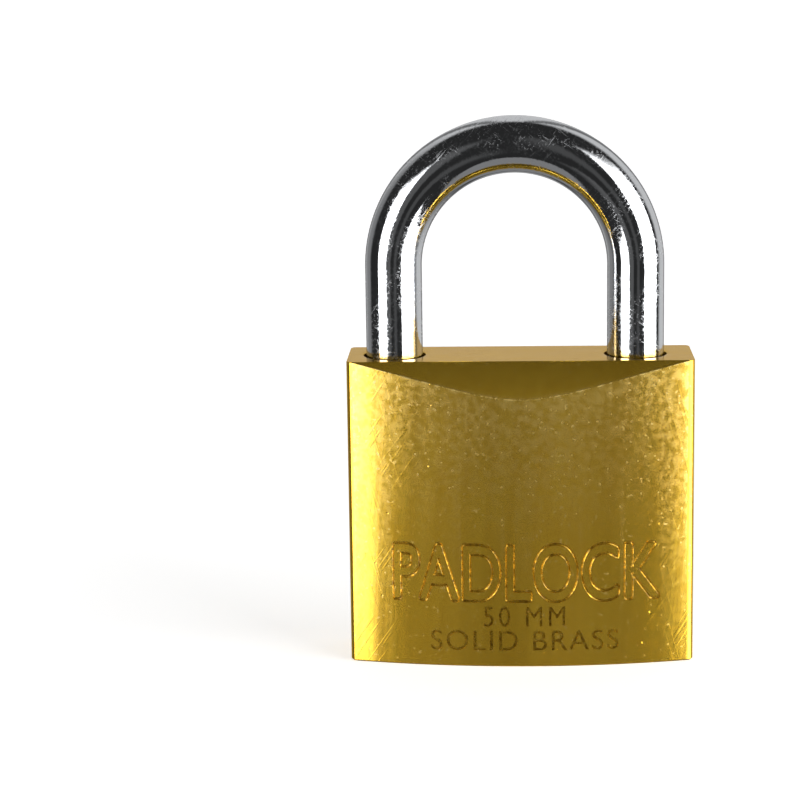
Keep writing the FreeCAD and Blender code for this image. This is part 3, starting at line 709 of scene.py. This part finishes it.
def stamp_tree(outlined):
    """Geometry Nodes that turn words into cutters, pressed into a crowned face.

    Outlined letters become round tubes along their edges, and plain ones solid punches.
    """
    tree, given = start_tree("stamped_outlines" if outlined else "stamped_letters", (
        ("Words", "String", ""), ("Letter size", "Float", 9 * MM), ("Depth", "Float", 0.2 * MM),
        ("Height", "Float", 10 * MM), ("Spacing", "Float", 1.0), ("Middle", "Float", 0.0),
        ("Narrowing", "Float", 1.0), ("Thickening", "Float", 0.0), ("Face", "Float", 9.4 * MM),
        ("Crown radius", "Float", 98 * MM), ("Step", "Float", 0.25 * MM)))
    words = add_node(tree, "GeometryNodeStringToCurves",
                     {"String": given["Words"], "Size": given["Letter size"],
                      "Character Spacing": given["Spacing"]},
                     align_x="CENTER", align_y="BOTTOM_BASELINE")
    real = add_node(tree, "GeometryNodeRealizeInstances", {0: words})
    even = add_node(tree, "GeometryNodeResampleCurve", {"Curve": real, "Length": given["Step"]},
                    mode="LENGTH")
    # letters are thickened along the flat normal of their outlines, then narrowed
    tangent = add_node(tree, "GeometryNodeInputTangent")
    outward = add_node(tree, "ShaderNodeVectorMath", {0: tangent, 1: (0.0, 0.0, 1.0)},
                       operation="CROSS_PRODUCT")
    swell = add_node(tree, "ShaderNodeVectorMath", {0: outward, "Scale": given["Thickening"]},
                     operation="SCALE")
    bolder = add_node(tree, "GeometryNodeSetPosition", {0: even, "Offset": swell})
    if outlined:
        ring = add_node(tree, "GeometryNodeCurvePrimitiveCircle",
                        {"Resolution": 8, "Radius": given["Depth"]})
        cutter = add_node(tree, "GeometryNodeCurveToMesh", {"Curve": bolder, "Profile Curve": ring})
    else:
        sunk = add_node(tree, MATH, {0: given["Depth"], 1: -1.0}, operation="MULTIPLY")
        below = add_node(tree, "ShaderNodeCombineXYZ", {2: sunk})
        sheet = add_node(tree, "GeometryNodeFillCurve", {0: bolder}, mode="NGONS")
        lowered = add_node(tree, "GeometryNodeSetPosition", {0: sheet, "Offset": below})
        tall = add_node(tree, MATH, {0: given["Depth"], 1: 2.0}, operation="MULTIPLY")
        punch = add_node(tree, "GeometryNodeExtrudeMesh",
                         {0: lowered, "Offset Scale": tall, "Individual": False})
        under = add_node(tree, "GeometryNodeFlipFaces", {0: lowered})
        closed = add_node(tree, "GeometryNodeJoinGeometry")
        tree.links.new(under, closed.node.inputs[0])
        tree.links.new(punch, closed.node.inputs[0])
        cutter = add_node(tree, "GeometryNodeMergeByDistance", {0: closed, "Distance": 1e-6})
    # the words lie flat in XY: x stays, y becomes height, and z becomes depth along the crown
    spot = add_node(tree, "ShaderNodeSeparateXYZ",
                    {0: add_node(tree, "GeometryNodeInputPosition")}).node.outputs
    x = add_node(tree, MATH, {0: spot["X"], 1: given["Narrowing"], 2: given["Middle"]},
                 operation="MULTIPLY_ADD")
    squared = add_node(tree, MATH, {0: x, 1: x}, operation="MULTIPLY")
    across = add_node(tree, MATH, {0: given["Crown radius"], 1: 2.0}, operation="MULTIPLY")
    fall = add_node(tree, MATH, {0: squared, 1: across}, operation="DIVIDE")
    face = add_node(tree, MATH, {0: fall, 1: given["Face"]}, operation="SUBTRACT")
    depth = add_node(tree, MATH, {0: face, 1: spot["Z"]}, operation="SUBTRACT")
    rise = add_node(tree, MATH, {0: spot["Y"], 1: given["Height"]}, operation="ADD")
    pressed = add_node(tree, "ShaderNodeCombineXYZ", {0: x, 1: depth, 2: rise})
    moved = add_node(tree, "GeometryNodeSetPosition", {0: cutter, "Position": pressed})
    return end_tree(tree, moved, given["Material"])


def stamp_cutters(shape, stamp, material):
    """The pressed words: an outlined title, the size, and a note in thin capitals."""
    outlines = stamp_tree(True)
    punches = stamp_tree(False)
    # name, tree, words, letter size, depth, height on the face, spacing, narrowing, thickening
    lines = (
        ("stamp_title", outlines, stamp.title, stamp.title_size, stamp.groove, 10.1 * MM, 1.04, 0.71,
         stamp.title_bold),
        ("stamp_size", punches, stamp.size_mark, stamp.small_size, stamp.small_depth, 6.1 * MM, 1.25,
         0.85, 0.0),
        ("stamp_note", punches, stamp.note, stamp.small_size, stamp.small_depth, 2.5 * MM, 1.12, 1.0,
         0.0),
    )
    made = []
    for name, tree, words, size, depth, height, spacing, narrowing, bold in lines:
        made.append(run_tree(tree, name, {
            "Words": words, "Letter size": size, "Depth": depth, "Height": height,
            "Spacing": spacing, "Middle": STAMP_MIDDLE, "Narrowing": narrowing, "Thickening": bold,
            "Face": shape.half_thick, "Crown radius": shape.crown_radius, "Material": material}))
    return made


def paint_edge_highlight_and_grooves(piece, shape, settings):
    """Two point attributes: wear with a painted highlight along the shoulder's edge, and groove in the
    stamped words.
    """
    mesh = piece.data
    edge_wear_and_highlight = mesh.attributes.new("edge_wear_and_highlight", "FLOAT", "POINT")
    groove = mesh.attributes.new("groove", "FLOAT", "POINT")
    centre = shape.shoulder_centre
    # the wear with its painted highlight fades out this far from the shoulder's edge
    reach = 1.5 * settings.worn_edge
    # a point this far below the face counts as the floor of a groove
    deep = 0.06 * MM
    for vertex in mesh.vertices:
        x, y, z = vertex.co.x, abs(vertex.co.y), vertex.co.z
        if abs(x) < shape.tangent_x:
            face = shape.half_thickness(x)
            kink = centre.y + math.sqrt(max(0.0, settings.shoulder_radius ** 2 - (face - centre.x) ** 2))
            near = math.hypot(y - face, z - kink)
            edge_wear_and_highlight.data[vertex.index].value = max(0.0, 1.0 - near / reach)
            if z < shape.height / 2 and vertex.co.y < 0:
                groove.data[vertex.index].value = min(1.0, max(0.0, (face - y) / deep))


class PADLOCK_OT_body(bpy.types.Operator):
    """Make the brass body with its bores and its stamped face."""

    bl_idname = "padlock.body"
    bl_label = "Brass Body"

    def execute(self, context):
        settings = context.scene.padlock_body
        material = satin_brass(settings)
        shape = BodyShape(settings)
        block = brass_block(shape)
        bored = cut(block, bore_cutters(settings), "bored_block")
        stamped = cut(bored, stamp_cutters(shape, context.scene.padlock_stamp, material), "brass_body")
        body = shade(stamped, material)
        must_be_closed(body)
        paint_edge_highlight_and_grooves(body, shape, settings)
        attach(body, "body")
        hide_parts("lock_body")
        return {"FINISHED"}


# ------------------------------------------------------------------------- shackle

def bar_tree():
    """Geometry Nodes that sweep a round bar up one leg, round the bow and down the other."""
    tree, given = start_tree("bent_bar", (
        ("Bow radius", "Float", 17.5 * MM), ("Bow height", "Float", 57.6 * MM),
        ("Middle", "Float", 0.0), ("Heel end", "Float", 11.5 * MM), ("Toe end", "Float", 31.9 * MM),
        ("Bar radius", "Float", 4.1 * MM), ("Points", "Int", 500), ("Sides", "Int", 96)))
    heel = add_node(tree, MATH, {0: given["Bow height"], 1: given["Heel end"]}, operation="SUBTRACT")
    toe = add_node(tree, MATH, {0: given["Bow height"], 1: given["Toe end"]}, operation="SUBTRACT")
    legs = add_node(tree, MATH, {0: heel, 1: toe}, operation="ADD")
    bow = add_node(tree, MATH, {0: given["Bow radius"], 1: math.pi}, operation="MULTIPLY")
    whole = add_node(tree, MATH, {0: legs, 1: bow}, operation="ADD")
    line = add_node(tree, "GeometryNodeCurvePrimitiveLine", {"End": (0.0, 0.0, 1.0)})
    even = add_node(tree, "GeometryNodeResampleCurve", {"Curve": line, "Count": given["Points"]})

    # how far each point has run along the bar, and so how much of each leg and of the bow
    share = add_node(tree, "GeometryNodeSplineParameter", out="Factor")
    run = add_node(tree, MATH, {0: share, 1: whole}, operation="MULTIPLY")
    left = add_node(tree, MATH, {0: heel, 1: run}, operation="SUBTRACT")
    below_heel = add_node(tree, MATH, {0: left, 1: 0.0}, operation="MAXIMUM")
    past = add_node(tree, MATH, {0: run, 1: heel}, operation="SUBTRACT")
    past_bow = add_node(tree, MATH, {0: past, 1: bow}, operation="SUBTRACT")
    below_toe = add_node(tree, MATH, {0: past_bow, 1: 0.0}, operation="MAXIMUM")
    started = add_node(tree, MATH, {0: past, 1: 0.0}, operation="MAXIMUM")
    round_bow = add_node(tree, MATH, {0: started, 1: bow}, operation="MINIMUM")
    turn = add_node(tree, MATH, {0: round_bow, 1: given["Bow radius"]}, operation="DIVIDE")

    cosine = add_node(tree, MATH, {0: turn}, operation="COSINE")
    across = add_node(tree, MATH, {0: cosine, 1: given["Bow radius"]}, operation="MULTIPLY")
    x = add_node(tree, MATH, {0: given["Middle"], 1: across}, operation="SUBTRACT")
    sine = add_node(tree, MATH, {0: turn}, operation="SINE")
    up = add_node(tree, MATH, {0: sine, 1: given["Bow radius"], 2: given["Bow height"]},
                  operation="MULTIPLY_ADD")
    higher = add_node(tree, MATH, {0: up, 1: below_heel}, operation="SUBTRACT")
    z = add_node(tree, MATH, {0: higher, 1: below_toe}, operation="SUBTRACT")
    place = add_node(tree, "ShaderNodeCombineXYZ", {0: x, 2: z})
    path = add_node(tree, "GeometryNodeSetPosition", {0: even, "Position": place})
    ring = add_node(tree, "GeometryNodeCurvePrimitiveCircle",
                    {"Resolution": given["Sides"], "Radius": given["Bar radius"]})
    bar = add_node(tree, "GeometryNodeCurveToMesh",
                   {"Curve": path, "Profile Curve": ring, "Fill Caps": True})
    return end_tree(tree, bar, given["Material"])


def sleeve(name, profile, x):
    """A closed ring of rectangular or bevelled section round a leg, from (radius, height) points."""
    steps = 96
    vertices = []
    faces = []
    for radius, height in profile:
        for step in range(steps):
            angle = 2 * math.pi * step / steps
            vertices.append((x + radius * math.cos(angle), radius * math.sin(angle), height))
    rings = len(profile)
    for ring in range(rings):
        low, high = ring * steps, (ring + 1) % rings * steps
        for step in range(steps):
            after = (step + 1) % steps
            faces.append((low + step, low + after, high + after, high + step))
    return new_object(name, mesh_from(name, vertices, faces))


def notch_cutter(name, x, way, settings):
    """A wedge that cuts a latch notch into the inner side of a leg."""
    radius = bar_radius()
    floor_x = x + way * (radius - settings.notch_depth)
    mouth_x = x + way * (radius + 0.5 * MM)
    half_floor = settings.notch_floor / 2
    half_mouth = half_floor + settings.notch_depth + 0.5 * MM
    side = radius + 1 * MM
    outline = [(floor_x, LATCH_Z - half_floor), (mouth_x, LATCH_Z - half_mouth),
               (mouth_x, LATCH_Z + half_mouth), (floor_x, LATCH_Z + half_floor)]
    vertices = [(px, py, pz) for py in (-side, side) for px, pz in outline]
    faces = [(0, 1, 2, 3), (4, 5, 6, 7)] + [(n, (n + 1) % 4, (n + 1) % 4 + 4, n + 4) for n in range(4)]
    return new_object(name, mesh_from(name, vertices, faces))


class PADLOCK_OT_shackle(bpy.types.Operator):
    """Make the chromed shackle with its neck, its notches and its bevelled ends."""

    bl_idname = "padlock.shackle"
    bl_label = "Shackle"

    def execute(self, context):
        settings = context.scene.padlock_shackle
        material = chrome_plate(settings)
        radius = bar_radius()
        heel_x = SHACKLE_LOW.x + radius
        toe_x = SHACKLE_HIGH.x - radius
        bow = (toe_x - heel_x) / 2
        bar = run_tree(bar_tree(), "bar", {
            "Bow radius": bow, "Bow height": SHACKLE_HIGH.z - radius - bow,
            "Middle": (heel_x + toe_x) / 2, "Heel end": SHACKLE_LOW.z, "Toe end": settings.toe_end,
            "Bar radius": radius, "Material": material})
        outside = radius + 1 * MM
        neck = settings.neck_diameter / 2
        bottom, top = settings.neck_bottom, settings.neck_top
        cutters = [sleeve("neck_cut", [(neck, bottom), (outside, bottom), (outside, top),
                                       (neck, top)], heel_x)]
        for name, x, end in (("heel_bevel", heel_x, SHACKLE_LOW.z),
                             ("toe_bevel", toe_x, settings.toe_end)):
            chamfer = settings.end_chamfer
            cutters.append(sleeve(name, [(radius - chamfer - 1 * MM, end - 1 * MM), (outside, end - 1 * MM),
                                         (outside, end + chamfer + 1 * MM)], x))
        cutters.append(notch_cutter("heel_notch", heel_x, 1, settings))
        cutters.append(notch_cutter("toe_notch", toe_x, -1, settings))
        shackle = shade(cut(bar, cutters, "chromed_shackle"), material)
        must_be_closed(shackle)
        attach(shackle, "shackle")
        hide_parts("shackle")
        return {"FINISHED"}


# ------------------------------------------------------------------- inner pieces

def coil_tree():
    """Geometry Nodes that wind round wire into an open compression spring along +Z."""
    tree, given = start_tree("coil_spring", (
        ("Coil radius", "Float", 3 * MM), ("Wire radius", "Float", 0.4 * MM),
        ("Length", "Float", 8 * MM), ("Turns", "Float", 6.0), ("Steps per turn", "Int", 40),
        ("Sides", "Int", 10)))
    wire = add_node(tree, MATH, {0: given["Wire radius"], 1: 2.0}, operation="MULTIPLY")
    rise = add_node(tree, MATH, {0: given["Length"], 1: wire}, operation="SUBTRACT")
    helix = add_node(tree, "GeometryNodeCurveSpiral",
                     {"Resolution": given["Steps per turn"], "Rotations": given["Turns"],
                      "Start Radius": given["Coil radius"], "End Radius": given["Coil radius"],
                      "Height": rise})
    lift = add_node(tree, "ShaderNodeCombineXYZ", {2: given["Wire radius"]})
    moved = add_node(tree, "GeometryNodeSetPosition", {0: helix, "Offset": lift})
    ring = add_node(tree, "GeometryNodeCurvePrimitiveCircle",
                    {"Resolution": given["Sides"], "Radius": given["Wire radius"]})
    coil = add_node(tree, "GeometryNodeCurveToMesh",
                    {"Curve": moved, "Profile Curve": ring, "Fill Caps": True})
    return end_tree(tree, coil, given["Material"])


# node, axis, wire in mm, turns
SPRINGS = (
    ("shackle_spring", (0, 0, 1), 0.8, 6.5),
    ("toe_latch_spring", (1, 0, 0), 0.3, 5.0),
    ("heel_latch_spring", (1, 0, 0), 0.3, 5.0),
    *((f"driver_spring_{stack}", (1, 0, 0), 0.35, 9.0) for stack in range(1, STACKS + 1)),
)


class PADLOCK_OT_springs(bpy.types.Operator):
    """Wind the shackle spring, the two latch springs and the five driver springs."""

    bl_idname = "padlock.springs"
    bl_label = "Springs"

    def execute(self, context):
        settings = context.scene.padlock_inner
        material = drawn_wire(settings)
        tree = coil_tree()
        for node, axis, wire_mm, turns in SPRINGS:
            wire = wire_mm * MM
            low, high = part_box(node)
            size = high - low
            middle = (low + high) / 2
            length = size.dot(Vector(axis))
            coil = run_tree(tree, node + "_coil", {
                "Coil radius": (size.y - wire) / 2, "Wire radius": wire / 2, "Length": length,
                "Turns": turns, "Sides": settings.wire_sides, "Material": material})
            start = middle - Vector(axis) * length / 2
            coil.data.transform(along(axis, *start))
            for face in coil.data.polygons:
                face.use_smooth = True
            must_be_closed(coil)
            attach(coil, "body")
            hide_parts(node)
            if node.startswith("driver_spring"):
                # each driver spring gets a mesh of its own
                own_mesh(coil)
        return {"FINISHED"}


class PADLOCK_OT_inner_pieces(bpy.types.Operator):
    """Give the turned brass and ground steel pieces of the frame their finishes."""

    bl_idname = "padlock.inner_pieces"
    bl_label = "Inner Pieces"

    def execute(self, context):
        settings = context.scene.padlock_inner
        ring_pitch = 0.12 * MM
        brass_names = ["latch_bore_plug", "key_cylinder"]
        steel_names = ["shackle_stop_pin", "heel_latch", "toe_latch", "cylinder_cam",
                       "cylinder_retaining_pin"]
        for stack in range(1, STACKS + 1):
            brass_names += [f"key_pin_{stack}", f"chamber_plug_{stack}"]
            steel_names.append(f"driver_pin_{stack}")
        for names, finish, colour, dull, roughness in (
            (brass_names, "turned_brass", settings.turned_brass, settings.turned_dull, 0.26),
            (steel_names, "ground_steel", settings.steel, settings.steel_dull, 0.30),
        ):
            for node in names:
                low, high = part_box(node)
                material = turned_metal(f"{finish}_{node}", colour, dull, roughness, ring_pitch,
                                        (low + high) / 2)
                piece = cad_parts[node]
                piece.data.materials.clear()
                piece.data.materials.append(material)
        return {"FINISHED"}


# --------------------------------------------------------------------------- stage

# The lights of the room: strength, then what bounds each one. A bound is a measure in degrees
# (across is -1 at the far left to 1 at the far right), where it is dark, where it is bright,
# and the share of light left in the dark.
STUDIO_LIGHTS = (
    # an upright softbox left of the lock
    (5.5, (("bearing", -64.0, -58.0, 0.0), ("bearing", -26.5, -32.5, 0.0),
           ("height", -20.0, -15.0, 0.0), ("height", 30.0, 14.0, 0.0))),
    # a wider and taller one right of it
    (5.5, (("bearing", 32.0, 38.0, 0.0), ("bearing", 90.0, 84.0, 0.0),
           ("height", -31.0, -26.0, 0.0), ("height", 47.0, 16.0, 0.0))),
    # dim light that spills from the boxes, either side of the dark where the viewer stands
    (0.08, (("bearing", -28.5, -23.5, 0.0), ("bearing", -8.0, -13.0, 0.0),
            ("height", -38.0, -22.0, 0.0), ("height", 40.0, 24.0, 0.0))),
    (0.05, (("bearing", 0.0, 6.0, 0.0), ("bearing", 16.0, 10.0, 0.0),
            ("height", -38.0, -22.0, 0.0), ("height", 40.0, 24.0, 0.0))),
    # the pale surface behind the lock, dimmer on the left and below, with a dark stripe each side
    (0.58, (("off_front", 98.0, 113.0, 0.0), ("height", -60.0, -10.0, 0.0),
            ("across", -0.85, -0.35, 0.35), ("from_stripe", 4.0, 12.0, 0.25))),
    # a card at the lock's foot
    (0.20, (("height", -82.0, -78.0, 0.0), ("height", -48.0, -52.0, 0.0))),
)
AMBIENT = 0.022
STRIPE_BEARING = 156.0


def studio_world(floor_colour):
    """A room of upright softboxes: dark ahead and behind, bright to the sides, soft overhead."""
    world = bpy.data.worlds.new("studio")
    bpy.context.scene.world = world
    world.use_nodes = True
    tree = world.node_tree
    tree.nodes.clear()
    looking = add_node(tree, "ShaderNodeTexCoord", out="Generated")
    way = add_node(tree, "ShaderNodeSeparateXYZ", {0: looking}).node.outputs

    # bearing is to the right of the way the lock faces, and off_front is away from that way
    ahead = add_node(tree, MATH, {0: way["Y"], 1: -1.0}, operation="MULTIPLY")
    turn = add_node(tree, MATH, {0: way["X"], 1: ahead}, operation="ARCTAN2")
    measures = {"across": way["X"]}
    for name, angle in (("bearing", turn),
                        ("height", add_node(tree, MATH, {0: way["Z"]}, operation="ARCSINE")),
                        ("off_front", add_node(tree, MATH, {0: ahead}, operation="ARCCOSINE"))):
        measures[name] = add_node(tree, MATH, {0: angle}, operation="DEGREES")
    sideways = add_node(tree, MATH, {0: measures["bearing"]}, operation="ABSOLUTE")
    beyond = add_node(tree, MATH, {0: sideways, 1: STRIPE_BEARING}, operation="SUBTRACT")
    measures["from_stripe"] = add_node(tree, MATH, {0: beyond}, operation="ABSOLUTE")

    total = AMBIENT
    for strength, bounds in STUDIO_LIGHTS:
        light = strength
        for measure, dark_at, bright_at, left in bounds:
            share = add_node(tree, "ShaderNodeMapRange",
                             {"Value": measures[measure], "From Min": dark_at,
                              "From Max": bright_at, "To Min": left},
                             interpolation_type="SMOOTHSTEP")
            light = add_node(tree, MATH, {0: light, 1: share}, operation="MULTIPLY")
        total = add_node(tree, MATH, {0: total, 1: light}, operation="ADD")
    seen = add_node(tree, "ShaderNodeBackground", {"Color": floor_colour, "Strength": 1.0})
    room = add_node(tree, "ShaderNodeBackground", {"Color": (1.0, 1.0, 1.0, 1.0), "Strength": total})
    by_camera = add_node(tree, "ShaderNodeLightPath", out="Is Camera Ray")
    mixed = add_node(tree, "ShaderNodeMixShader", {0: by_camera, 1: room, 2: seen})
    add_node(tree, "ShaderNodeOutputWorld", {0: mixed})


def pale_floor(colour):
    """A wide, evenly lit white floor that the metal doesn't mirror."""
    side = 6.0
    floor = new_object("floor", mesh_from("floor", [(-side, -side, 0), (side, -side, 0), (side, side, 0),
                                                    (-side, side, 0)], [(0, 1, 2, 3)]))
    material, tree, shader = new_material("floor_paper", colour, 0.0, 0.9)
    shader.inputs["Specular IOR Level"].default_value = 0.0
    shader.inputs["Emission Color"].default_value = colour
    # it glows a little, so that it stays white in the dark studio
    shader.inputs["Emission Strength"].default_value = 0.72
    floor.data.materials.append(material)
    floor.location.z = -0.02 * MM
    floor.visible_glossy = False
    floor.visible_shadow = False


def aim_camera(settings):
    """The camera in front of the lock, a little above it and turned slightly to its left."""
    camera = bpy.data.objects.new("camera", bpy.data.cameras.new("camera"))
    bpy.context.scene.collection.objects.link(camera)
    bpy.context.scene.camera = camera
    camera.data.lens = settings.lens
    camera.data.sensor_width = 36.0
    camera.data.clip_start = 0.01
    ahead = Vector((math.sin(settings.pan) * math.cos(settings.tilt),
                    math.cos(settings.pan) * math.cos(settings.tilt), math.sin(settings.tilt)))
    level = Vector((math.cos(settings.pan), -math.sin(settings.pan), 0.0))
    upward = level.cross(ahead)
    right = level * math.cos(settings.roll) + upward * math.sin(settings.roll)
    top = upward * math.cos(settings.roll) - level * math.sin(settings.roll)
    turn = Matrix((right, top, -ahead)).transposed().to_4x4()
    camera.matrix_world = Matrix.Translation((settings.side, -settings.distance, settings.height)) @ turn


class PADLOCK_OT_stage(bpy.types.Operator):
    """Lay the floor, light the room and set the camera."""

    bl_idname = "padlock.stage"
    bl_label = "Stage"

    def execute(self, context):
        settings = context.scene.padlock_stage
        context.scene.view_settings.view_transform = "Standard"
        studio_world(settings.floor)
        pale_floor(settings.floor)
        aim_camera(settings)
        return {"FINISHED"}


# ------------------------------------------------------------------ panel and start

class PADLOCK_PT_panel(bpy.types.Panel):
    """The pieces of the padlock and what a user can change on them."""

    bl_label = "Padlock"
    bl_idname = "PADLOCK_PT_panel"
    bl_space_type = "VIEW_3D"
    bl_region_type = "UI"
    bl_category = "Padlock"

    def draw(self, context):
        for group, operators in PANEL_ROWS:
            box = self.layout.box()
            settings = getattr(context.scene, group)
            for name in settings.bl_rna.properties.keys():
                if name not in ("rna_type", "name"):
                    box.prop(settings, name)
            for operator in operators:
                box.operator(operator)


PANEL_ROWS = (
    ("padlock_body", ("padlock.body",)),
    ("padlock_stamp", ()),
    ("padlock_shackle", ("padlock.shackle",)),
    ("padlock_inner", ("padlock.springs", "padlock.inner_pieces")),
    ("padlock_stage", ("padlock.stage",)),
)
SETTINGS = {
    "padlock_body": PadlockBodySettings,
    "padlock_stamp": PadlockStampSettings,
    "padlock_shackle": PadlockShackleSettings,
    "padlock_inner": PadlockInnerSettings,
    "padlock_stage": PadlockStageSettings,
}
CLASSES = (
    *SETTINGS.values(),
    PADLOCK_OT_body,
    PADLOCK_OT_shackle,
    PADLOCK_OT_springs,
    PADLOCK_OT_inner_pieces,
    PADLOCK_OT_stage,
    PADLOCK_PT_panel,
)


def register():
    """Register the classes and give the scene its settings."""
    for cls in CLASSES:
        bpy.utils.register_class(cls)
    for name, group in SETTINGS.items():
        setattr(bpy.types.Scene, name, PointerProperty(type=group))


def unregister():
    """Take the settings and the classes away again."""
    for name in SETTINGS:
        delattr(bpy.types.Scene, name)
    for cls in reversed(CLASSES):
        bpy.utils.unregister_class(cls)


def main():
    """Register the classes, then make every piece."""
    register()
    bpy.ops.padlock.stage()
    bpy.ops.padlock.body()
    bpy.ops.padlock.shackle()
    bpy.ops.padlock.springs()
    bpy.ops.padlock.inner_pieces()


if __name__ == "__main__":
    main()
